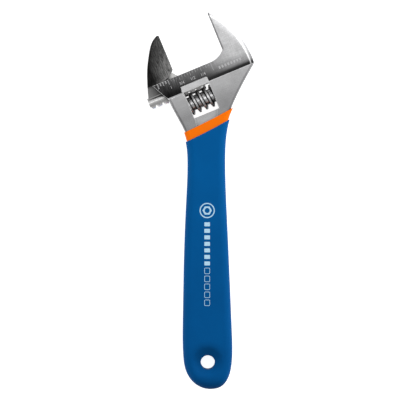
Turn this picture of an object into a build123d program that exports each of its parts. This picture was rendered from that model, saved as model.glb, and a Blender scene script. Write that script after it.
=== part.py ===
"""An 8-inch adjustable wrench: forged body, sliding jaw, worm on a sprung pin, and a two-coat dipped grip.

The frame's origin is the centre of the hang hole on the wrench's middle plane. +Y runs up the handle to the
head, +Z is square to the flat of the wrench, and the jaws are set over towards -X. All sizes are in mm.
"""

import os
from math import atan, cos, pi, radians, sin

from build123d import *

# --- Head frame: u is the jaw's travel towards the fixed jaw, v points out of the mouth -------------------
JAW_TILT = 22.5
HEAD_X, HEAD_Y = -5.7, 155.9
U_DIR = Vector(cos(radians(JAW_TILT)), sin(radians(JAW_TILT)), 0)
V_DIR = Vector(-sin(radians(JAW_TILT)), cos(radians(JAW_TILT)), 0)
HEAD = Plane(origin=(HEAD_X, HEAD_Y, 0), x_dir=U_DIR, z_dir=(0, 0, 1))
HEAD_SIDE = Plane(origin=(HEAD_X, HEAD_Y, 0), x_dir=V_DIR, z_dir=U_DIR)

# --- Stock that the outlines are cut from, and how far the trimming wedges reach each way ----------------
BLANK_HALF, TRIM_REACH = 12.0, 60.0

# --- Jaws ------------------------------------------------------------------------------------------------
FIXED_FACE_U = 19.4
OPENING = 29.8
MOVING_FACE_U = FIXED_FACE_U - OPENING
JAW_TIP_V = 32.4
SEAT_V = 6.4
FACE_ROOT_V = 10.6
ROOT_ARC_START_U = 10.5
BACK_CORNER = (32.8, -3.0)
JAW_BASE_HALF, JAW_TIP_HALF = 5.75, 4.0
FACE_CHAMFER = 0.45

# --- Boss around the worm --------------------------------------------------------------------------------
BOSS_HALF = 6.6
BOSS_TOP_LEFT_V, BOSS_TOP_RIGHT_V = -3.9, -3.0
LEFT_SHOULDER_U = -18.9
BRIDGE_U = (-10.1, 5.6)
BRIDGE_TOP_V = 0.0
WINDOW_U = (-9.7, 5.3)
WINDOW_V = (-18.8, -3.6)
RAMP_DEPTHS, RAMP_END_V = (2.2, 1.0), -27.0
RAMP_FOOT = ((-4.9, 126.0), (4.7, 126.0))
BOSS_ROUND, BACK_ROUND = 1.3, 2.8

# --- Handle and its two dipped coats ---------------------------------------------------------------------
TAPER_TOP_Y, TAPER_END_Y = 172.0, -16.0
HANDLE_END_HALF = 5.1
ORANGE_COAT, BLUE_COAT = 0.6, 0.7
ORANGE_ROUND, BLUE_ROUND = 2.6, 4.2
HANG_HOLE_R = 3.9
ORANGE_HOLE_R = HANG_HOLE_R + BLUE_COAT
STEEL_HOLE_R = ORANGE_HOLE_R + ORANGE_COAT
ORANGE_EDGE = ((-12.9, 127.2), (0.4, 133.4), (13.2, 140.5))
BLUE_EDGE = ((-11.5, 122.3), (0.2, 127.7), (11.6, 134.3))
DISH_R, DISH_DEPTH, DISH_LIP = 21.0, 1.7, 4.0

# --- Slide rail, rack and worm ---------------------------------------------------------------------------
PITCH = 3.9
WORM_AXIS_V = -10.75
WORM_CREST_R, WORM_CORE_R = 6.2, 4.05
WORM_CREST_WIDTH, WORM_BASE_WIDTH = 0.9, 2.5
WORM_U = (WINDOW_U[0] + 0.15, WINDOW_U[1] - 0.15)
WORM_TOP_CREST_U = 1.05
RAIL_R, RAIL_AXIS_V = 3.6, -2.4
RAIL_GAP = 0.15
WEB_HALF = 2.2
CHEEK_V = SEAT_V + 0.17
JAW_ROUND = 1.2
WEB_TOP_V = SEAT_V - 0.2
RAIL_END_U = 2.9
RACK_ROOT_V = -3.9
RACK_CLEARANCE = 0.15
TOE_POCKET_U, TOE_POCKET_V = 21.6, 9.7

# --- Pin and spring --------------------------------------------------------------------------------------
PIN_R, PIN_HEAD_R = 1.7, 2.6
PIN_HEAD_U, PIN_HEAD_END_U = -18.0, -12.6
PIN_RUNNING_GAP = 0.08
PIN_BLIND_DEPTH = 5.0
SPRING_R, SPRING_WIRE_R, SPRING_TURNS = 2.35, 0.25, 5
SPRING_POCKET_R, SPRING_POCKET_LENGTH = 2.9, 5.2

# --- Graduations -----------------------------------------------------------------------------------------
INCH = 25.4
SCALE_ZERO_U, SCALE_COUNT = 10.3, 20
SCALE_ZERO_MARK, SCALE_MARKS = 4.8, (2.7, 2.1, 1.6)
MARK_WIDTH, MARK_DEPTH = 0.28, 0.16

os.makedirs("parts", exist_ok=True)


def head_point(u, v):
    """The handle-frame point that lies at (u, v) in the head frame."""
    return HEAD.from_local_coords((u, v, 0))


def head_v(point):
    """How far out of the mouth a point lies, in the head frame."""
    return (point - HEAD.origin).dot(V_DIR)


def head_u(point):
    """How far along the jaw's travel a point lies, in the head frame."""
    return (point - HEAD.origin).dot(U_DIR)


def thread_half_width(radius):
    """Half the worm thread's width at a radius from the worm's axis."""
    share = (radius - WORM_CORE_R) / (WORM_CREST_R - WORM_CORE_R)
    return (WORM_BASE_WIDTH + (WORM_CREST_WIDTH - WORM_BASE_WIDTH) * share) / 2


def blank_half(y):
    """Half the thickness of the bare forging at a height up the handle."""
    share = (y - TAPER_END_Y) / (TAPER_TOP_Y - TAPER_END_Y)
    return HANDLE_END_HALF + (BOSS_HALF - HANDLE_END_HALF) * share


def handle_sides(coat):
    """Points down the left side, round the end and up the right side, grown outwards by a coat."""
    left = [(-15.4, 133.0), (-13.0, 128.2), (-10.6, 120), (-9.9, 110)]
    left += [(-10.7, 88), (-11.9, 57), (-12.5, 24), (-12.3, 4)]
    end = [(-11.0, -4.2), (-7.4, -9.9), (-2.5, -12.9), (2.3, -13.5), (6.8, -12.2), (10.2, -8.0)]
    right = [(12.0, 0), (12.0, 18), (11.0, 42), (9.6, 74), (8.5, 100), (8.4, 116), (10.0, 131)]
    left = [(x - coat, y) for x, y in left]
    end = [(x * (1 + coat / 12.7), y * (1 + coat / 12.7)) for x, y in end]
    right = [(x + coat, y) for x, y in right]
    return left + end + right


def taper_slab(coat):
    """Sketch the wedge that sets the forging's thickness, grown outwards by a coat."""
    with BuildSketch(Plane.YZ) as wedge:
        with BuildLine():
            Polyline(
                (TAPER_TOP_Y, 0), (TAPER_TOP_Y, BOSS_HALF + coat), (TAPER_END_Y, HANDLE_END_HALF + coat),
                (TAPER_END_Y, 0), (TAPER_TOP_Y, 0),
            )
        make_face()
        mirror(about=Plane.XZ)
    return wedge.sketch


def coated_handle(coat, edge_round, edge_line):
    """The handle with a coat on it, rounded along its edges and ended at the coat's upper edge."""
    with BuildPart() as dipped:
        with BuildSketch(Plane.XY.offset(-BLANK_HALF)):
            with BuildLine():
                side = handle_sides(coat)
                top_left, top_right = (-19.2 - coat, 139.4), (15.9 + coat, 144.9)
                Spline(top_left, *side, top_right)
                Polyline(top_right, (15.9, 152), (-19.2, 152), top_left)
            make_face()
        extrude(amount=2 * BLANK_HALF)
        extrude(taper_slab(coat), amount=TRIM_REACH, both=True, mode=Mode.INTERSECT)
        fillet([e for e in dipped.edges() if abs(e.center().Z) > 3 and e.center().Y < 143], edge_round)
        with BuildSketch(Plane.XY.offset(-BLANK_HALF)):
            with BuildLine():
                (x0, y0), (x1, y1), (x2, y2) = edge_line
                slope0, slope1 = (y1 - y0) / (x1 - x0), (y2 - y1) / (x2 - x1)
                start, finish = (x0 - 10, y0 - 10 * slope0), (x2 + 10, y2 + 10 * slope1)
                ThreePointArc(start, (x1, y1), finish)
                Polyline(finish, (40, 40), (30, -30), (-30, -30), (-40, 40), start)
            make_face()
        extrude(amount=2 * BLANK_HALF, mode=Mode.INTERSECT)
    return dipped.part


def hole_dish(coat):
    """The two shallow round dishes that the hang hole stands in, left smaller by a coat."""
    rise = blank_half(0) + ORANGE_COAT + BLUE_COAT - DISH_DEPTH + DISH_R
    with BuildPart() as dishes:
        with Locations((0, 0, rise), (0, 0, -rise)):
            Sphere(DISH_R + ORANGE_COAT + BLUE_COAT - coat)
    return dishes.part


def head_box(u, v, z):
    """A box between the given limits in the head frame."""
    sizes = [high - low for low, high in (u, v, z)]
    middle = [(high + low) / 2 for low, high in (u, v, z)]
    return HEAD * Pos(*middle) * Box(*sizes, mode=Mode.PRIVATE)


def head_rod(radius, u, v):
    """A cylinder of the given radius lying along the jaw's travel on the wrench's middle plane."""
    rod = Cylinder(radius, u[1] - u[0], mode=Mode.PRIVATE)
    return HEAD * Pos((u[0] + u[1]) / 2, v, 0) * Rot(0, 90, 0) * rod


def jaw_taper():
    """Sketch the wedge that thins both jaws towards their tips."""
    with BuildSketch(HEAD_SIDE) as wedge:
        with BuildLine():
            Polyline(
                (-20, 0), (-20, JAW_BASE_HALF), (BOSS_TOP_RIGHT_V, JAW_BASE_HALF),
                (JAW_TIP_V + 2, JAW_TIP_HALF), (JAW_TIP_V + 2, 0), (-20, 0),
            )
        make_face()
        mirror(about=Plane.XZ)
    return wedge.sketch


def thumb_ramps():
    """The sunk way below the window, on both faces, that lets the thumb reach the worm."""
    v0, v1 = WINDOW_V[0], RAMP_END_V
    z0, z1 = BOSS_HALF - RAMP_DEPTHS[0], BOSS_HALF - RAMP_DEPTHS[1]
    with BuildPart() as ramps:
        with BuildSketch(Plane.XY.offset(-BLANK_HALF)):
            with BuildLine():
                start = head_point(WINDOW_U[0] + 0.4, v0 + 0.5)
                finish = head_point(WINDOW_U[1] - 1.0, v0 + 0.5)
                Polyline(start, RAMP_FOOT[0], RAMP_FOOT[1], finish, start)
            make_face()
        extrude(amount=2 * BLANK_HALF)
        with BuildSketch(HEAD_SIDE):
            with BuildLine():
                Polyline((v0 + 5, z0), (v0, z0), (v1, z1), (v1 - 9, z1))
                Polyline((v1 - 9, z1), (v1 - 9, BLANK_HALF), (v0 + 5, BLANK_HALF), (v0 + 5, z0))
            make_face()
            mirror(about=Plane.XZ)
        extrude(amount=TRIM_REACH, both=True, mode=Mode.INTERSECT)
    return ramps.part


def jaw_face(v):
    """The plane of the jaws' tapered face on the scale's side, with its origin at v on the jaw's centre."""
    slope = (JAW_BASE_HALF - JAW_TIP_HALF) / (JAW_TIP_V + 2 - BOSS_TOP_RIGHT_V)
    z = JAW_BASE_HALF - slope * (v - BOSS_TOP_RIGHT_V)
    lean = atan(slope)
    return Plane(
        origin=HEAD.from_local_coords((0, v, z)),
        x_dir=U_DIR,
        z_dir=HEAD.z_dir * cos(lean) + V_DIR * sin(lean),
    )


def scale_marks():
    """The graduations, one to a sixteenth of an inch, as shallow cuts from the seat's edge downwards."""
    marks = []
    for n in range(SCALE_COUNT + 1):
        length = SCALE_ZERO_MARK if n == 0 else SCALE_MARKS[0 if n % 4 == 0 else 1 if n % 2 == 0 else 2]
        marks.append((SCALE_ZERO_U - n * INCH / 16, length))
    with BuildPart() as cuts:
        with BuildSketch(jaw_face(SEAT_V)):
            for u, length in marks:
                with Locations((u, 0.5 - (length + 0.5) / 2)):
                    Rectangle(MARK_WIDTH, length + 0.5)
        extrude(amount=MARK_DEPTH, both=True)
    return cuts.part


# --- Body: boss and handle -------------------------------------------------------------------------------
with BuildPart() as body_blank:
    with BuildSketch(Plane.XY.offset(-BLANK_HALF)):
        with BuildLine():
            shoulder = head_point(LEFT_SHOULDER_U, BOSS_TOP_LEFT_V)
            back_corner = head_point(*BACK_CORNER)
            Spline(shoulder, (-18.1, 137.9), *handle_sides(0), (14.5, 144.2), (19.0, 153.5), back_corner)
            Polyline(back_corner, head_point(1, BOSS_TOP_RIGHT_V), head_point(-1, BOSS_TOP_LEFT_V), shoulder)
        make_face()
    extrude(amount=2 * BLANK_HALF)
    extrude(taper_slab(0), amount=TRIM_REACH, both=True, mode=Mode.INTERSECT)
    rims = [e for e in body_blank.edges() if abs(e.center().Z) > 3]
    fillet([e for e in rims if head_v(e.center()) < -4.2], BOSS_ROUND)

# --- Body: fixed jaw and the scale band across the head --------------------------------------------------
with BuildPart() as jaw_plate:
    with BuildSketch(HEAD.offset(-BOSS_HALF)):
        with BuildLine():
            tip = (FIXED_FACE_U + 0.7, JAW_TIP_V + 0.2)
            back = [(25.0, 27.1), (28.8, 20.5), (31.5, 12.3), (32.7, 4.6)]
            band_end = (-24.2, SEAT_V)
            Line(band_end, (ROOT_ARC_START_U, SEAT_V))
            TangentArc((ROOT_ARC_START_U, SEAT_V), (FIXED_FACE_U, FACE_ROOT_V), tangent=(1, 0))
            Polyline((FIXED_FACE_U, FACE_ROOT_V), (FIXED_FACE_U, JAW_TIP_V), tip)
            Spline(tip, *back, BACK_CORNER)
            Polyline(BACK_CORNER, (19, -12), (-12, -12), (LEFT_SHOULDER_U, BOSS_TOP_LEFT_V), band_end)
        make_face()
    extrude(amount=2 * BOSS_HALF)
    extrude(jaw_taper(), amount=TRIM_REACH, both=True, mode=Mode.INTERSECT)
    rims = [e for e in jaw_plate.edges() if abs((e.center()).Z) > 3 and head_v(e.center()) > -2]
    fillet([e for e in rims if e.geom_type == GeomType.BSPLINE and head_u(e.center()) > 20], BACK_ROUND)
    rims = [e for e in jaw_plate.edges() if abs((e.center()).Z) > 3]
    chamfer([e for e in rims if abs(head_u(e.center()) - FIXED_FACE_U) < 0.05], FACE_CHAMFER)

# --- Body: joined, then bored, slotted and windowed ------------------------------------------------------
with BuildPart() as bridge:
    with BuildSketch(HEAD.offset(-BOSS_HALF)):
        with BuildLine():
            Polyline((BRIDGE_U[0] - 0.9, -6), (BRIDGE_U[0], BRIDGE_TOP_V), (BRIDGE_U[1], BRIDGE_TOP_V))
            Polyline((BRIDGE_U[1], BRIDGE_TOP_V), (BRIDGE_U[1], -6), (BRIDGE_U[0] - 0.9, -6))
        make_face()
    extrude(amount=2 * BOSS_HALF)
    corner = [e for e in bridge.edges() if abs(head_u(e.center()) - BRIDGE_U[1]) < 0.1]
    corner = [e for e in corner if abs(head_v(e.center()) - BRIDGE_TOP_V) < 0.1]
    fillet([e for e in corner if abs(e.center().Z) < 1], 0.9)
    tops = [e for e in bridge.edges() if abs(e.center().Z) > 3 and head_v(e.center()) > -5]
    chamfer([e for e in tops if abs(abs(e.center().Z) - BOSS_HALF) < 0.01], 0.3)

with BuildPart() as body:
    add(body_blank.part)
    add(jaw_plate.part)
    add(bridge.part)
    window = head_box(WINDOW_U, WINDOW_V, (-9, 9))
    add(window, mode=Mode.SUBTRACT)
    add(head_rod(RAIL_R + RAIL_GAP, (-45, 45), RAIL_AXIS_V), mode=Mode.SUBTRACT)
    slot_half = WEB_HALF + RAIL_GAP
    slot_z = (-slot_half, slot_half)
    add(head_box((-45, 15), (RAIL_AXIS_V, 20), slot_z), mode=Mode.SUBTRACT)
    add(head_box((10, TOE_POCKET_U), (RAIL_AXIS_V, TOE_POCKET_V), slot_z), mode=Mode.SUBTRACT)
    add(head_rod(PIN_HEAD_R + 0.05, (-30, PIN_HEAD_END_U + 0.05), WORM_AXIS_V), mode=Mode.SUBTRACT)
    add(head_rod(PIN_R + 0.05, (-20, WINDOW_U[1] + PIN_BLIND_DEPTH), WORM_AXIS_V), mode=Mode.SUBTRACT)
    add(thumb_ramps(), mode=Mode.SUBTRACT)
    with Locations((0, 0, 0)):
        Cylinder(STEEL_HOLE_R, 40, mode=Mode.SUBTRACT)
    add(hole_dish(0), mode=Mode.SUBTRACT)
    add(scale_marks(), mode=Mode.SUBTRACT)
body.part.label = "body"
export_step(body.part, "parts/body.step")

# --- Grip: the inner coat, then the outer coat over it ---------------------------------------------------
inner_outer = coated_handle(ORANGE_COAT, ORANGE_ROUND, ORANGE_EDGE)
outer_outer = coated_handle(ORANGE_COAT + BLUE_COAT, BLUE_ROUND, BLUE_EDGE)

with BuildPart() as grip_inner:
    add(inner_outer)
    add(hole_dish(ORANGE_COAT), mode=Mode.SUBTRACT)
    with Locations((0, 0, 0)):
        Cylinder(ORANGE_HOLE_R, 40, mode=Mode.SUBTRACT)
    add(body.part, mode=Mode.SUBTRACT)
grip_inner.part.label = "grip_inner"
export_step(grip_inner.part, "parts/grip_inner.step")

with BuildPart() as grip_outer:
    add(outer_outer)
    add(hole_dish(ORANGE_COAT + BLUE_COAT), mode=Mode.SUBTRACT)
    faces = [f for f in grip_outer.faces() if f.geom_type == GeomType.SPHERE]
    fillet([e for f in faces for e in f.edges() if abs(e.center().Z) > 5], DISH_LIP)
    with Locations((0, 0, 0)):
        Cylinder(HANG_HOLE_R, 40, mode=Mode.SUBTRACT)
    add(grip_inner.part, mode=Mode.SUBTRACT)
    add(body.part, mode=Mode.SUBTRACT)
grip_outer.part.label = "grip_outer"
export_step(grip_outer.part, "parts/grip_outer.step")

# --- Movable jaw -----------------------------------------------------------------------------------------
with BuildPart() as movable_jaw:
    with BuildSketch(HEAD.offset(-BOSS_HALF)):
        with BuildLine():
            tip = (MOVING_FACE_U - 0.9, 31.4)
            corner, bevel_end = (MOVING_FACE_U, FACE_ROOT_V + 0.2), (ROOT_ARC_START_U - OPENING, CHEEK_V)
            cheek_end = (-27.2, CHEEK_V)
            Polyline(corner, (MOVING_FACE_U, 30.8), tip)
            Spline(tip, (-15.0, 29.3), (-19.2, 23.8), (-23.5, 16.0), (-26.0, 9.9), cheek_end)
            Line(cheek_end, bevel_end)
            TangentArc(bevel_end, corner, tangent=(1, 0))
        make_face()
    extrude(amount=2 * BOSS_HALF)
    extrude(jaw_taper(), amount=TRIM_REACH, both=True, mode=Mode.INTERSECT)
    rims = [e for e in movable_jaw.edges() if abs(e.center().Z) > 3 and head_u(e.center()) < -12]
    fillet([e for e in rims if e.geom_type == GeomType.BSPLINE], JAW_ROUND)
    rims = [e for e in movable_jaw.edges() if abs(e.center().Z) > 3]
    chamfer([e for e in rims if abs(head_u(e.center()) - MOVING_FACE_U) < 0.05], FACE_CHAMFER)
    with BuildSketch(HEAD.offset(-WEB_HALF)):
        with BuildLine():
            outer_edge = [(-27.0, CHEEK_V + 0.3), (-28.2, 3.6), (-29.2, 0), (-29.9, -2.6)]
            Spline(*outer_edge)
            Polyline(outer_edge[-1], (2.5, -2.6), (2.5, 0.6), (-8.4, 0.6), (-8.85, WEB_TOP_V))
            Polyline((-8.85, WEB_TOP_V), (-11.2, 9.1), (-16, 9.1), (-16, CHEEK_V + 0.3), outer_edge[0])
        make_face()
    extrude(amount=2 * WEB_HALF)
    add(head_rod(RAIL_R, (-29.8, RAIL_END_U), RAIL_AXIS_V))
    slant = atan(PITCH / (2 * pi * (WORM_CREST_R - 0.8)))
    along = HEAD.z_dir * cos(slant) + U_DIR * sin(slant)
    across = U_DIR * cos(slant) - HEAD.z_dir * sin(slant)
    mesh_point = HEAD.from_local_coords((WORM_TOP_CREST_U, WORM_AXIS_V, 0))
    rack = Plane(origin=mesh_point, x_dir=across, z_dir=along)
    low_r, root_r = WORM_CORE_R, RACK_ROOT_V - WORM_AXIS_V
    low_w = thread_half_width(low_r) + RACK_CLEARANCE
    root_w = thread_half_width(WORM_CREST_R) + RACK_CLEARANCE
    with BuildSketch(rack):
        with Locations(*[(-n * PITCH * cos(slant), 0) for n in range(-1, 9)]):
            Polygon((-low_w, low_r), (low_w, low_r), (root_w, root_r), (-root_w, root_r), align=None)
    extrude(amount=9, both=True, mode=Mode.SUBTRACT)
    with BuildSketch(jaw_face(CHEEK_V)):
        with Locations((SCALE_ZERO_U - OPENING, 0.7)):
            Rectangle(MARK_WIDTH, 2.4)
    extrude(amount=MARK_DEPTH, both=True, mode=Mode.SUBTRACT)
movable_jaw.part.label = "movable_jaw"
export_step(movable_jaw.part, "parts/movable_jaw.step")

# --- Worm, pin and spring --------------------------------------------------------------------------------
def along_travel(part, u):
    """Lay a part that was built up the Z axis along the worm's axis, its base at u."""
    start = Plane(origin=HEAD.from_local_coords((u, WORM_AXIS_V, 0)), x_dir=V_DIR, z_dir=U_DIR)
    return part.moved(start.location)


with BuildPart() as worm_upright:
    length = WORM_U[1] - WORM_U[0]
    lead_in = (WORM_TOP_CREST_U - WORM_U[0]) % PITCH - 2 * PITCH
    with BuildLine(Plane.XY.offset(lead_in)) as path:
        Helix(PITCH, 7 * PITCH, WORM_CORE_R)
    rise = WORM_CREST_R - WORM_CORE_R
    root_w, crest_w = WORM_BASE_WIDTH / 2 + 0.1, WORM_CREST_WIDTH / 2
    with BuildSketch(Plane(origin=path.line @ 0, x_dir=(1, 0, 0), z_dir=path.line % 0)):
        Polygon((-0.25, -root_w), (-0.25, root_w), (rise, crest_w), (rise, -crest_w), align=None)
    sweep(is_frenet=True)
    with Locations((0, 0, length / 2)):
        Cylinder(WORM_CREST_R + 1, length, mode=Mode.INTERSECT)
        Cylinder(WORM_CORE_R, length)
        Cylinder(PIN_R + PIN_RUNNING_GAP, length + 2, mode=Mode.SUBTRACT)
    Cylinder(SPRING_POCKET_R, 2 * SPRING_POCKET_LENGTH, mode=Mode.SUBTRACT)
adjusting_screw = along_travel(worm_upright.part, WORM_U[0])
adjusting_screw.label = "adjusting_screw"
export_step(adjusting_screw, "parts/adjusting_screw.step")

with BuildPart() as screw_pin:
    add(head_rod(PIN_HEAD_R, (PIN_HEAD_U, PIN_HEAD_END_U), WORM_AXIS_V))
    add(head_rod(PIN_R, (PIN_HEAD_END_U, WINDOW_U[1] + PIN_BLIND_DEPTH - 0.3), WORM_AXIS_V))
    slot_v = (WORM_AXIS_V - 4, WORM_AXIS_V + 4)
    add(head_box((PIN_HEAD_U - 1, PIN_HEAD_U + 1.1), slot_v, (-0.45, 0.45)), mode=Mode.SUBTRACT)
    ends = screw_pin.edges().filter_by(GeomType.CIRCLE).sort_by(Axis(HEAD.origin, U_DIR))
    chamfer(ends[-1], 0.4)
screw_pin.part.label = "screw_pin"
export_step(screw_pin.part, "parts/screw_pin.step")

with BuildPart() as spring_upright:
    spring_length = SPRING_POCKET_LENGTH - 2 * SPRING_WIRE_R - 0.3
    with BuildLine() as coil:
        Helix(spring_length / SPRING_TURNS, spring_length, SPRING_R)
    with BuildSketch(Plane(origin=coil.line @ 0, x_dir=(1, 0, 0), z_dir=coil.line % 0)):
        Circle(SPRING_WIRE_R)
    sweep(is_frenet=True)
screw_spring = along_travel(spring_upright.part, WINDOW_U[0] + 0.1 + SPRING_WIRE_R)
screw_spring.label = "screw_spring"
export_step(screw_spring, "parts/screw_spring.step")
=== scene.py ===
"""Looks, lights and camera for the adjustable wrench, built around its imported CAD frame.

Blender works in metres. Lengths written as bare numbers here are millimetres, and MM turns them into metres,
apart from those of the floor and the lights, which are in metres.
"""

from math import cos, pi, radians, sin

import bpy
from mathutils import Matrix, Vector


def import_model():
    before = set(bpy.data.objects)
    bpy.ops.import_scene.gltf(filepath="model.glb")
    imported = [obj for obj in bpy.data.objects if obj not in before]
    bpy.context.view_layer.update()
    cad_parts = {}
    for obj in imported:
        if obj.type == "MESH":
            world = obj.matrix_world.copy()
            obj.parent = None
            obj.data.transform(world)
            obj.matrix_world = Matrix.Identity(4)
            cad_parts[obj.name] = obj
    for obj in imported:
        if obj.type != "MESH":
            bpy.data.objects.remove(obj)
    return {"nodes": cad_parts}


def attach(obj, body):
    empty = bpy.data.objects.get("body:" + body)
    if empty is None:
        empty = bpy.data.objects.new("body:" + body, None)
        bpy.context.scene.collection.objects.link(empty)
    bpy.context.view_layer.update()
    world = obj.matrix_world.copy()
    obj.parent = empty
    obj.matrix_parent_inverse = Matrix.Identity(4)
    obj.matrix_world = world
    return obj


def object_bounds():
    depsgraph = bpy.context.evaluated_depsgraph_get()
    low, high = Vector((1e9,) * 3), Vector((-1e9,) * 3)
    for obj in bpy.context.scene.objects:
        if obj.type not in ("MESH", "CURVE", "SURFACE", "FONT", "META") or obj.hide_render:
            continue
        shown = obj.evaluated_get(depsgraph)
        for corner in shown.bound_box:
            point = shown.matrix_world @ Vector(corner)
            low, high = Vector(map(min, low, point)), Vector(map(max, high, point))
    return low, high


MM = 0.001
PER_METRE = 1000

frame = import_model()
cad_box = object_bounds()
nodes = frame["nodes"]

# --- The head's own frame: u is the jaw's travel towards the fixed jaw, v points out of the mouth --------
TILT = radians(22.5)
HEAD = Vector((-5.7, 155.9, 0)) * MM
U_DIR = Vector((cos(TILT), sin(TILT), 0))
V_DIR = Vector((-sin(TILT), cos(TILT), 0))

# the jaws' faces taper from the boss to the tip; only the boss and its bridge reach out past PROUD_HALF
JAW_BASE_V, JAW_TIP_V = -3.0, 34.4
JAW_BASE_HALF, JAW_TIP_HALF = 5.75, 4.0
JAW_SLOPE = (JAW_BASE_HALF - JAW_TIP_HALF) / (JAW_TIP_V - JAW_BASE_V)
PROUD_HALF = JAW_BASE_HALF + 0.15
BOSS_TOP_V = -3.2
LEFT_END_U, FIXED_FACE_U = -15.0, 19.4

# the thumb ramps lie below RAMP_TOP_V and nearer to the middle plane than RAMP_HALF
RAMP_TOP_V, RAMP_HALF = -18.9, 5.7

# the moving jaw's web and rail, and the worm, whose axis is WORM_DROP below the head's origin
WEB_HALF = 2.5
RAIL_TOP_V, RAIL_SHINE_V, RAIL_UNDER_V = 1.0, -1.1, -3.0
WORM_DROP = 10.75
WORM_ROOT_R, WORM_CREST_R = 4.35, 6.15


def head_point(u, v, z):
    """A point given in the head's frame, as metres in the row's frame."""
    return HEAD + U_DIR * (u * MM) + V_DIR * (v * MM) + Vector((0, 0, z * MM))


def band_z(v):
    """Height of the jaws' tapered face at v."""
    return JAW_BASE_HALF - JAW_SLOPE * (v - JAW_BASE_V)


# --- Node helpers ----------------------------------------------------------------------------------------
class Mat:
    """A node material under construction, with one method for each kind of node it uses."""

    def __init__(self, name):
        self.mat = bpy.data.materials.new(name)
        self.mat.use_nodes = True
        self.tree = self.mat.node_tree
        self.bsdf = self.tree.nodes["Principled BSDF"]

    def node(self, kind, **values):
        made = self.tree.nodes.new(kind)
        for key, value in values.items():
            setattr(made, key, value)
        return made

    def link(self, out, socket):
        self.tree.links.new(out, socket)

    def put(self, value, socket):
        """Links a node's output, or sets a plain value."""
        if isinstance(value, bpy.types.NodeSocket):
            self.link(value, socket)
        else:
            socket.default_value = value

    def mapping(self, vector, setting, value):
        made = self.node("ShaderNodeMapping", vector_type="POINT")
        self.link(vector, made.inputs["Vector"])
        made.inputs[setting].default_value = value
        return made.outputs[0]

    def coords(self, scale, turn=0.0, shift=(0, 0, 0)):
        """The row's coordinates in metres, shifted, then turned about Z, then scaled."""
        where = self.node("ShaderNodeTexCoord").outputs["Object"]
        shifted = self.mapping(where, "Location", shift)
        turned = self.mapping(shifted, "Rotation", (0, 0, turn))
        return self.mapping(turned, "Scale", scale)

    def row(self):
        """Coordinates in the row's frame, in millimetres."""
        return self.coords((PER_METRE, PER_METRE, PER_METRE))

    def head(self, scale=(1, 1, 1)):
        """Coordinates in the head's frame, in millimetres before scaling."""
        return self.coords(tuple(PER_METRE * s for s in scale), -TILT, tuple(-c for c in HEAD))

    def split(self, vector):
        made = self.node("ShaderNodeSeparateXYZ")
        self.link(vector, made.inputs[0])
        return made.outputs

    def noise(self, vector, scale, detail, rough, distortion=0.0):
        made = self.node("ShaderNodeTexNoise")
        self.link(vector, made.inputs["Vector"])
        made.inputs["Scale"].default_value = scale
        made.inputs["Detail"].default_value = detail
        made.inputs["Roughness"].default_value = rough
        made.inputs["Distortion"].default_value = distortion
        return made.outputs["Fac"]

    def span(self, value, low, high, out_low=0.0, out_high=1.0, smooth=False):
        """Maps low..high to out_low..out_high and holds the end values outside."""
        made = self.node("ShaderNodeMapRange")
        if smooth:
            made.interpolation_type = "SMOOTHSTEP"
        self.put(value, made.inputs["Value"])
        made.inputs["From Min"].default_value = low
        made.inputs["From Max"].default_value = high
        self.put(out_low, made.inputs["To Min"])
        self.put(out_high, made.inputs["To Max"])
        return made.outputs["Result"]

    def math(self, what, a, b=0.0):
        made = self.node("ShaderNodeMath", operation=what)
        self.put(a, made.inputs[0])
        self.put(b, made.inputs[1])
        return made.outputs[0]

    def add(self, total, *others):
        for other in others:
            total = self.math("ADD", total, other)
        return total

    def times(self, total, *others):
        for other in others:
            total = self.math("MULTIPLY", total, other)
        return total

    def length(self, a, b):
        squares = self.add(self.math("POWER", a, 2.0), self.math("POWER", b, 2.0))
        return self.math("SQRT", squares)

    def mix_value(self, fac, a, b):
        made = self.node("ShaderNodeMix", data_type="FLOAT")
        self.put(fac, made.inputs["Factor"])
        self.put(a, made.inputs["A"])
        self.put(b, made.inputs["B"])
        return made.outputs["Result"]

    def mix(self, fac, a, b, blend="MIX"):
        made = self.node("ShaderNodeMix", data_type="RGBA", blend_type=blend)
        self.put(fac, made.inputs["Factor"])
        self.put(a, made.inputs["A"])
        self.put(b, made.inputs["B"])
        return made.outputs["Result"]

    def tint(self, tone, shades=(1.0, 1.0, 1.0)):
        """A grey tone as a colour with a faint cast."""
        color = self.node("ShaderNodeCombineColor")
        for channel, shade in zip(color.inputs, shades):
            self.link(self.times(tone, shade), channel)
        return color.outputs[0]

    def shaded(self, color, tone):
        """A colour darkened by a tone."""
        return self.mix(1.0, color, self.tint(tone), "MULTIPLY")

    def bump(self, height, strength, distance, normal=None):
        made = self.node("ShaderNodeBump")
        made.inputs["Strength"].default_value = strength
        made.inputs["Distance"].default_value = distance * MM
        self.link(height, made.inputs["Height"])
        if normal is not None:
            self.link(normal, made.inputs["Normal"])
        return made.outputs["Normal"]

    def edge_highlight(self, radius):
        """How far the surface turns within a short distance: high along edges; used to paint highlights along
        them.
        """
        made = self.node("ShaderNodeBevel", samples=4)
        made.inputs["Radius"].default_value = radius * MM
        geometry = self.node("ShaderNodeNewGeometry")
        dot = self.node("ShaderNodeVectorMath", operation="DOT_PRODUCT")
        self.link(made.outputs["Normal"], dot.inputs[0])
        self.link(geometry.outputs["Normal"], dot.inputs[1])
        return self.span(dot.outputs["Value"], 0.995, 0.8)

    def painted_recess_shade(self, reach, low, high, darkest):
        """Painted shade: a factor that falls to `darkest` where the surface is shut in within `reach`."""
        made = self.node("ShaderNodeAmbientOcclusion", samples=6)
        made.inputs["Distance"].default_value = reach * MM
        return self.span(made.outputs["AO"], low, high, darkest, 1.0)

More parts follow.
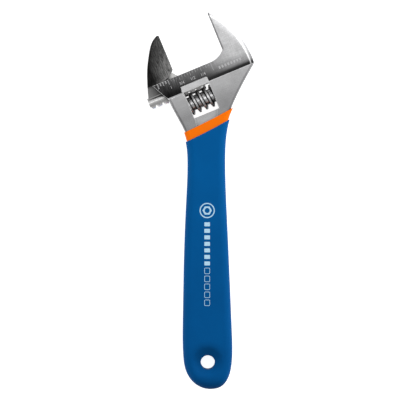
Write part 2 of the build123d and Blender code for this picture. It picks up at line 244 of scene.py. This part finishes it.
    def finish(self, color, rough, metallic, normal=None, **sockets):
        self.put(color, self.bsdf.inputs["Base Color"])
        self.put(rough, self.bsdf.inputs["Roughness"])
        self.bsdf.inputs["Metallic"].default_value = metallic
        for key, value in sockets.items():
            self.bsdf.inputs[key.replace("_", " ")].default_value = value
        if normal is not None:
            self.link(normal, self.bsdf.inputs["Normal"])
        return self.mat


# --- Materials -------------------------------------------------------------------------------------------
METAL, NOT_METAL = 1.0, 0.0
COLD_STEEL, WARM_STEEL = (1.0, 1.0, 1.012), (1.0, 0.995, 0.985)


def grey(level):
    return (level, level, level * 1.015, 1.0)


def pale_blue(level):
    return (level * 0.66, level, level * 1.24, 1.0)


def fixed_jaw_painted_highlight(m, u, v):
    """The painted highlight that the fixed jaw adds to the band: brighter towards its tip, and more so
    towards its back.
    """
    towards_tip = m.times(m.span(v, 6.0, 26.0, 0.0, 0.14), m.span(u, 14.0, 19.0))
    to_back = m.add(u, m.times(v, 0.45))
    towards_back = m.times(m.span(v, 7.0, 15.0), m.span(to_back, 32.0, 38.5, 0.0, 0.42))
    return m.add(towards_tip, towards_back)


def band_tone_with_painted_light(m, u, v, z):
    """The scale band and the fixed jaw, with painted light and shade: a painted shadow black beside the boss,
    painted shade dark at the left, a painted reflection bright at the right.
    """
    right = m.span(u, 2.0, 26.0, smooth=True)
    # a painted shadow along the boss, lighter towards the seat, and a painted reflection brighter to the
    # right
    tone = m.span(v, -1.9, 0.4, 0.02, m.mix_value(right, 0.045, 0.22), smooth=True)
    tone = m.add(tone, m.span(v, 0.0, 5.5, 0.0, m.mix_value(right, 0.1, 0.2)))
    upright = m.noise(m.head((2.6, 0.12, 1.0)), scale=1.2, detail=5.0, rough=0.65)
    tone = m.times(tone, m.span(upright, 0.35, 0.65, m.span(u, -16.0, 8.0, 0.15, 0.9), 1.15))
    # the fixed jaw's painted highlight is added, and the band's left end is darkened with painted shade
    tone = m.times(m.add(tone, fixed_jaw_painted_highlight(m, u, v)), m.span(u, -20.0, -8.0, 0.45, 1.0))

    # a painted shade line down the lip of the fixed jaw's face
    lip = m.times(m.span(u, FIXED_FACE_U + 0.75, FIXED_FACE_U + 0.45), m.span(v, 9.5, 11.5))
    lip = m.times(lip, m.math("GREATER_THAN", u, 12.0))
    tone = m.times(tone, m.mix_value(lip, 1.0, 0.22))

    # the grooves of the scale are bright at the bottom
    sunk = m.math("SUBTRACT", m.span(v, JAW_BASE_V, JAW_TIP_V, JAW_BASE_HALF, JAW_TIP_HALF), z)
    groove = m.times(m.math("GREATER_THAN", sunk, 0.05), m.math("LESS_THAN", sunk, 0.3))
    groove = m.times(groove, m.math("GREATER_THAN", z, 0.0))
    return m.add(tone, m.times(groove, 0.27))


def boss_tone_with_painted_light(m, v, far, proud):
    """The boss around the worm, lighter towards the band with painted reflection, its bridge brighter, and
    its thumb ramps brighter with painted light.
    """
    bridge = m.times(proud, m.math("GREATER_THAN", v, BOSS_TOP_V))
    ramp = m.times(m.math("LESS_THAN", v, RAMP_TOP_V), m.math("LESS_THAN", far, RAMP_HALF))
    # painted reflection grows lighter towards the band
    tone = m.span(v, -17.0, -3.0, 0.235, 0.37)
    return m.add(tone, m.times(bridge, 0.08), m.times(ramp, 0.17))


def body_steel():
    m = Mat("forged_steel")
    u, v, z = m.split(m.head())
    far = m.math("ABSOLUTE", z)
    proud = m.math("GREATER_THAN", far, PROUD_HALF)
    boss = m.math("MAXIMUM", m.math("LESS_THAN", v, BOSS_TOP_V), proud)
    tone = m.mix_value(boss, band_tone_with_painted_light(m, u, v, z), boss_tone_with_painted_light(m, v, far, proud))

    brushed = m.noise(m.head((0.12, 2.2, 1.2)), scale=1.6, detail=5.0, rough=0.6)
    grain = m.noise(m.row(), scale=2.2, detail=6.0, rough=0.6)
    blotch = m.noise(m.row(), scale=0.16, detail=3.0, rough=0.5)
    streaks = m.span(brushed, 0.3, 0.7, m.mix_value(boss, 0.84, 0.94), m.mix_value(boss, 1.16, 1.06))
    tone = m.times(tone, streaks, m.span(grain, 0.35, 0.65, 0.88, 1.12), m.span(blotch, 0.3, 0.7, 0.93, 1.07))

    # a painted highlight along the edges of the boss, twice as bright at the band's left end
    left_end = m.math("LESS_THAN", u, LEFT_END_U)
    edge_glint = m.times(m.edge_highlight(0.6), m.math("MAXIMUM", boss, m.times(left_end, 2.0)))
    tone = m.add(tone, m.times(edge_glint, 0.3))
    # painted shade in the body's recesses
    tone = m.times(tone, m.painted_recess_shade(reach=2.5, low=0.2, high=0.8, darkest=0.35))
    rough = m.span(grain, 0.3, 0.7, 0.3, 0.46)
    normal = m.bump(grain, 0.12, 0.06, m.bump(brushed, 0.1, 0.06))
    return m.finish(m.tint(tone, COLD_STEEL), rough, METAL, normal)


def cheek_tone_with_painted_shade(m, u, v, streak):
    """The moving jaw's cheeks, in painted shade and dark reflection: near black at the back and the tip, with
    a paler foot of painted light.
    """
    tone = m.times(m.span(u, -22.5, -10.5, 0.004, 0.18), m.span(v, 8.0, 25.0, 1.0, 0.3, smooth=True))
    tone = m.times(m.add(tone, 0.006), m.span(streak, 0.36, 0.64, 0.25, 1.9))
    return m.add(tone, m.times(m.span(v, 8.0, 6.4, 0.0, 0.1), m.span(u, -20.0, -16.0)))


def web_tone_with_painted_light(m, u, fine):
    """The thin web between the jaw and the rail, in painted shade, with a painted highlight at the toe."""
    tone = m.add(m.span(u, -28.0, -21.0, 0.17, 0.035), m.span(u, -15.0, -12.0, 0.0, 0.45))
    return m.times(tone, m.span(fine, 0.3, 0.7, 0.7, 1.3))


def rail_tone_with_painted_highlight(m, v, fine):
    """The round rail, with one painted highlight along it, a painted bright underside with the rack, and
    painted shade where it is shut in.
    """
    from_shine = m.math("ABSOLUTE", m.add(v, -RAIL_SHINE_V))
    tone = m.span(from_shine, 0.3, 1.1, 1.35, 0.34, smooth=True)
    tone = m.add(tone, m.span(v, RAIL_UNDER_V, RAIL_UNDER_V - 1.8, 0.0, 0.6))
    tone = m.times(tone, m.painted_recess_shade(reach=3.0, low=0.25, high=0.8, darkest=0.12))
    return m.times(tone, m.span(fine, 0.3, 0.7, 0.75, 1.2))


def jaw_steel():
    m = Mat("jaw_steel")
    u, v, z = m.split(m.head())
    streak = m.noise(m.head((2.0, 0.3, 0.8)), scale=1.1, detail=7.0, rough=0.75, distortion=0.2)
    fine = m.noise(m.head((5.0, 0.22, 2.0)), scale=1.6, detail=5.0, rough=0.6)
    thin = m.math("LESS_THAN", m.math("ABSOLUTE", z), WEB_HALF)
    tone = m.mix_value(thin, cheek_tone_with_painted_shade(m, u, v, streak), web_tone_with_painted_light(m, u, fine))
    tone = m.mix_value(m.span(v, RAIL_TOP_V, RAIL_TOP_V - 0.4), tone, rail_tone_with_painted_highlight(m, v, fine))
    # a faint painted highlight along the jaw's edges
    tone = m.add(tone, m.times(m.edge_highlight(0.4), 0.05))
    rough = m.span(fine, 0.3, 0.7, 0.28, 0.48)
    normal = m.bump(fine, 0.18, 0.06, m.bump(streak, 0.14, 0.1))
    return m.finish(m.tint(tone, WARM_STEEL), rough, METAL, normal)


def screw_steel():
    """The worm, with painted reflections: bright at the root and the crest of its thread, dark on the flanks
    between, and painted shade where it is shut in.
    """
    m = Mat("screw_steel")
    where = m.head()
    _, v, z = m.split(where)
    radius = m.length(m.add(v, WORM_DROP), z)
    turned = m.noise(m.head((6.0, 0.6, 0.6)), scale=1.0, detail=4.0, rough=0.6)
    speck = m.noise(where, scale=0.9, detail=5.0, rough=0.6)
    tone = m.span(radius, WORM_ROOT_R, WORM_ROOT_R + 0.5, 1.0, 0.05)
    tone = m.add(tone, m.span(radius, WORM_CREST_R - 0.45, WORM_CREST_R, 0.0, 0.7))
    tone = m.times(tone, m.span(speck, 0.38, 0.6, 0.45, 1.05))
    tone = m.times(tone, m.painted_recess_shade(reach=3.0, low=0.2, high=0.75, darkest=0.1))
    rough = m.span(turned, 0.3, 0.7, 0.3, 0.44)
    return m.finish(m.tint(tone, COLD_STEEL), rough, METAL, m.bump(turned, 0.1, 0.05))


def plain_steel(name, level, smoothest, roughest, stretch):
    m = Mat(name)
    turned = m.noise(m.head(stretch), scale=1.2, detail=5.0, rough=0.6)
    color = m.mix(m.span(turned, 0.3, 0.7), grey(level * 0.75), grey(level * 1.2))
    rough = m.span(turned, 0.3, 0.7, smoothest, roughest)
    return m.finish(color, rough, METAL, m.bump(turned, 0.15, 0.05))


def hang_hole_painted_shade(m, x, y):
    """Two factors: how near the hang hole is, and the painted shade of the dish, darkest above the hole and
    at its rim.
    """
    from_hole = m.length(x, y)
    depth = m.add(m.times(y, 0.55), m.span(from_hole, 10.5, 4.0, 0.0, 6.0))
    shade = m.span(depth, 1.5, 8.5, 1.0, 0.62, smooth=True)
    return m.span(from_hole, 12.0, 8.0), shade


def vinyl(name, dark, light, rough, gloss):
    """A dipped coat with painted light: brightest near the head, and with painted shade darker towards the
    bottom and in the hang hole's dish.
    """
    m = Mat(name)
    where = m.row()
    x, y, _ = m.split(where)
    broad = m.noise(where, scale=0.06, detail=3.0, rough=0.5)
    skin = m.noise(where, scale=1.1, detail=4.0, rough=0.55)
    pores = m.noise(where, scale=6.0, detail=3.0, rough=0.6)
    # painted light brightens the coat towards the head, with a random mottle on top
    painted_light_and_mottle = m.add(m.span(y, 0.0, 125.0, 0.0, 0.7), m.span(broad, 0.3, 0.7, 0.0, 0.3))
    color = m.mix(painted_light_and_mottle, dark, light)
    color = m.mix(m.span(skin, 0.35, 0.65, 0.0, 0.1), color, light)
    # painted shade darkens the bottom end
    color = m.shaded(color, m.span(y, -6.0, -15.5, 1.0, 0.5, smooth=True))
    # painted shade in the hang hole's dish
    near, shade = hang_hole_painted_shade(m, x, y)
    color = m.mix(near, color, m.shaded(color, shade))
    roughness = m.span(pores, 0.3, 0.7, rough - 0.05, rough + 0.07)
    normal = m.bump(pores, 0.08, 0.04, m.bump(skin, 0.1, 0.12, m.bump(broad, 0.15, 0.8)))
    return m.finish(color, roughness, NOT_METAL, normal, Specular_IOR_Level=gloss)


def ink(name, level, cast):
    """Worn paint or print: its colour falls off in patches."""
    m = Mat(name)
    wear = m.noise(m.row(), scale=1.8, detail=5.0, rough=0.6)
    color = m.mix(m.span(wear, 0.35, 0.7), cast(level), cast(level * 0.8))
    rough = m.span(wear, 0.3, 0.7, 0.45, 0.65)
    return m.finish(color, rough, NOT_METAL, m.bump(wear, 0.1, 0.03), Specular_IOR_Level=0.1)


# each pair is the dark and the light end of a coat's painted light and mottle
ORANGE = (0.93, 0.165, 0.001, 1), (1.0, 0.185, 0.002, 1)
BLUE = (0.0002, 0.07, 0.235, 1), (0.0003, 0.104, 0.332, 1)
finishes = {
    "body": body_steel(),
    "movable_jaw": jaw_steel(),
    "adjusting_screw": screw_steel(),
    "screw_pin": plain_steel("pin_steel", 0.4, 0.25, 0.45, stretch=(4, 0.5, 0.5)),
    "screw_spring": plain_steel("spring_steel", 0.3, 0.3, 0.5, stretch=(1, 1, 1)),
    "grip_inner": vinyl("inner_coat", *ORANGE, rough=0.5, gloss=0.05),
    "grip_outer": vinyl("outer_coat", *BLUE, rough=0.55, gloss=0.03),
}
for node, material in finishes.items():
    nodes[node].data.materials.clear()
    nodes[node].data.materials.append(material)


# --- Numbers and marks on the scale, and the print on the grip -------------------------------------------
MARK_HEIGHT = 0.02


def lay(piece, origin, across, up, body):
    """Sets a flat piece down in a face: its own X runs along `across` and its Y along `up`."""
    across, up = across.normalized(), up.normalized()
    turn = Matrix((across, up, across.cross(up))).transposed().to_4x4()
    bpy.context.scene.collection.objects.link(piece)
    piece.matrix_world = Matrix.Translation(origin) @ turn
    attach(piece, body)


def flat_shape(name, loops, material):
    """Closed loops of points, filled, with the loops inside other loops left open."""
    data = bpy.data.curves.new(name, "CURVE")
    data.dimensions, data.fill_mode, data.extrude = "2D", "BOTH", MARK_HEIGHT * MM
    for loop in loops:
        spline = data.splines.new("POLY")
        spline.points.add(len(loop) - 1)
        for point, (x, y) in zip(spline.points, loop):
            point.co = (x * MM, y * MM, 0, 1)
        spline.use_cyclic_u = True
    data.materials.append(material)
    return bpy.data.objects.new(name, data)


def ring(radius, count=48):
    """A circle, or with few points a regular polygon."""
    turns = (2 * pi * n / count for n in range(count))
    return [(radius * cos(turn), radius * sin(turn)) for turn in turns]


def bar(x, y, width, height, corner):
    """A rounded bar centred at (x, y)."""
    steps = 4
    loop = []
    for quarter, (side, end) in enumerate(((1, 1), (-1, 1), (-1, -1), (1, -1))):
        cx, cy = x + side * (width / 2 - corner), y + end * (height / 2 - corner)
        for n in range(steps + 1):
            turn = pi / 2 * (quarter + n / steps)
            loop.append((cx + corner * cos(turn), cy + corner * sin(turn)))
    return loop


def column(first, step, count, *outlines):
    """Bars one under another, each drawn with every (width, height, corner) in `outlines`."""
    return [bar(0, -first - step * n, *outline) for n in range(count) for outline in outlines]


NUMERALS = (
    ("quarter", "1/4", 4.1), ("half", "1/2", -2.0), ("three_quarters", "3/4", -8.5), ("one", "1", -14.9),
)
NUMERAL_V, NUMERAL_SIZE = 1.8, 2.3
band_up = V_DIR - Vector((0, 0, JAW_SLOPE))
numeral_ink = ink("numeral_ink", 0.56, grey)
for name, text, u in NUMERALS:
    data = bpy.data.curves.new("numeral_" + name, "FONT")
    data.body, data.size, data.extrude = text, NUMERAL_SIZE * MM, MARK_HEIGHT * MM
    data.align_x, data.align_y = "CENTER", "CENTER"
    data.materials.append(numeral_ink)
    numeral = bpy.data.objects.new("numeral_" + name, data)
    lay(numeral, head_point(u, NUMERAL_V, band_z(NUMERAL_V)), U_DIR, band_up, "body")

STAMP_U, STAMP_STEP, STAMP_BARS = 14.0, 1.75, 8
stamp = [bar(STAMP_U + STAMP_STEP * n, 0, width=1.0, height=1.5, corner=0.3) for n in range(STAMP_BARS)]
stamped = flat_shape("head_stamp", stamp, ink("stamp_ink", 0.48, grey))
lay(stamped, head_point(0, NUMERAL_V, band_z(NUMERAL_V)), U_DIR, band_up, "body")

PRINT_X, EMBLEM_Y, PRINT_TOP_Y, PRINT_END_Y = -0.35, 83.9, 77.6, 30.8


def on_grip(y):
    """The point of the grip's front on the print's centre line at height y, in metres."""
    above = cad_box[1].z + 10 * MM
    hit, point, _, _ = nodes["grip_outer"].ray_cast(Vector((PRINT_X * MM, y * MM, above)), Vector((0, 0, -1)))
    assert hit
    return point


print_up = on_grip(PRINT_TOP_Y) - on_grip(PRINT_END_Y)
print_ink = ink("print_ink", 0.77, pale_blue)
printed = {
    "grip_emblem": (EMBLEM_Y, [ring(4.2), ring(3.6), ring(2.6, 6), ring(1.4)]),
    "grip_bold_bars": (PRINT_TOP_Y, column(1.3, 3.6, 7, (3.1, 2.2, 0.25))),
    "grip_fine_bars": (PRINT_TOP_Y, column(27.0, 4.4, 5, (3.1, 3.4, 0.6), (2.6, 2.9, 0.4))),
}
for name, (y, loops) in printed.items():
    lay(flat_shape(name, loops, print_ink), on_grip(y), Vector((1, 0, 0)), print_up, "body")


# --- Stage, light and camera, with places and sizes in metres --------------------------------------------
FLOOR_HALF, FLOOR_GAP = 1.4, 0.2 * MM
MIDDLE = (0.0, 0.09, 0.0)
LIGHTS = (
    ("overhead", (0.15, 0.35, 1.7), (0.9, 0.9), 3.0),
    ("left_fill", (-1.0, 0.1, 0.35), (0.5, 1.2), 2.4),
    ("right_fill", (1.0, 0.0, 0.35), (0.5, 1.2), 1.2),
    ("upper_right_key", (0.85, 0.85, 0.75), (1.5, 1.5), 13.4),
)


def floor():
    half, low = FLOOR_HALF, cad_box[0].z - FLOOR_GAP
    mesh = bpy.data.meshes.new("floor")
    corners = [(-half, -half, low), (half, -half, low), (half, half, low), (-half, half, low)]
    mesh.from_pydata(corners, [], [(0, 1, 2, 3)])
    made = bpy.data.objects.new("floor", mesh)
    bpy.context.scene.collection.objects.link(made)
    m = Mat("floor")
    mottle = m.noise(m.coords((1, 1, 1)), scale=3.0, detail=3.0, rough=0.5)
    color = m.mix(m.span(mottle, 0.3, 0.7), grey(0.6), grey(0.62))
    mesh.materials.append(m.finish(color, 0.8, NOT_METAL, Specular_IOR_Level=0.1))
    m.bsdf.inputs["Emission Color"].default_value = (1, 1, 1, 1)
    m.bsdf.inputs["Emission Strength"].default_value = 0.9


def world():
    """A grey room whose tone changes from the horizon to the zenith."""
    made = bpy.data.worlds.new("studio")
    bpy.context.scene.world = made
    made.use_nodes = True
    tree = made.node_tree
    where = tree.nodes.new("ShaderNodeTexCoord")
    split = tree.nodes.new("ShaderNodeSeparateXYZ")
    ramp = tree.nodes.new("ShaderNodeValToRGB")
    tree.links.new(where.outputs["Generated"], split.inputs[0])
    tree.links.new(split.outputs["Z"], ramp.inputs[0])
    stops = ramp.color_ramp.elements
    stops[0].position, stops[0].color = 0.0, (0.62, 0.62, 0.63, 1)
    stops[1].position, stops[1].color = 1.0, (0.6, 0.6, 0.6, 1)
    for position, level in ((0.3, 0.35), (0.75, 0.45)):
        stops.new(position).color = (level, level, level, 1)
    background = tree.nodes["Background"]
    tree.links.new(ramp.outputs[0], background.inputs["Color"])
    background.inputs["Strength"].default_value = 1.0


def area(name, where, size, power):
    """A rectangular light that faces the middle of the wrench."""
    data = bpy.data.lights.new(name, "AREA")
    data.shape, data.size, data.size_y, data.energy = "RECTANGLE", size[0], size[1], power
    made = bpy.data.objects.new(name, data)
    made.location = where
    made.rotation_euler = (Vector(MIDDLE) - Vector(where)).to_track_quat("-Z", "Y").to_euler()
    bpy.context.scene.collection.objects.link(made)


# the camera looks straight down on the front face, PICTURE_WIDTH of which fills the view; all in millimetres
SENSOR, LENS = 36.0, 250.0
PICTURE_WIDTH, FRONT_Z = 220.8, 6.0
VIEW_X, VIEW_Y = -4.3, 89.7


def camera():
    data = bpy.data.cameras.new("camera")
    data.lens, data.sensor_width = LENS, SENSOR
    made = bpy.data.objects.new("camera", data)
    made.location = Vector((VIEW_X, VIEW_Y, FRONT_Z + PICTURE_WIDTH * LENS / SENSOR)) * MM
    bpy.context.scene.collection.objects.link(made)
    bpy.context.scene.camera = made


floor()
world()
for light in LIGHTS:
    area(*light)
camera()
bpy.context.scene.view_settings.view_transform = "Standard"
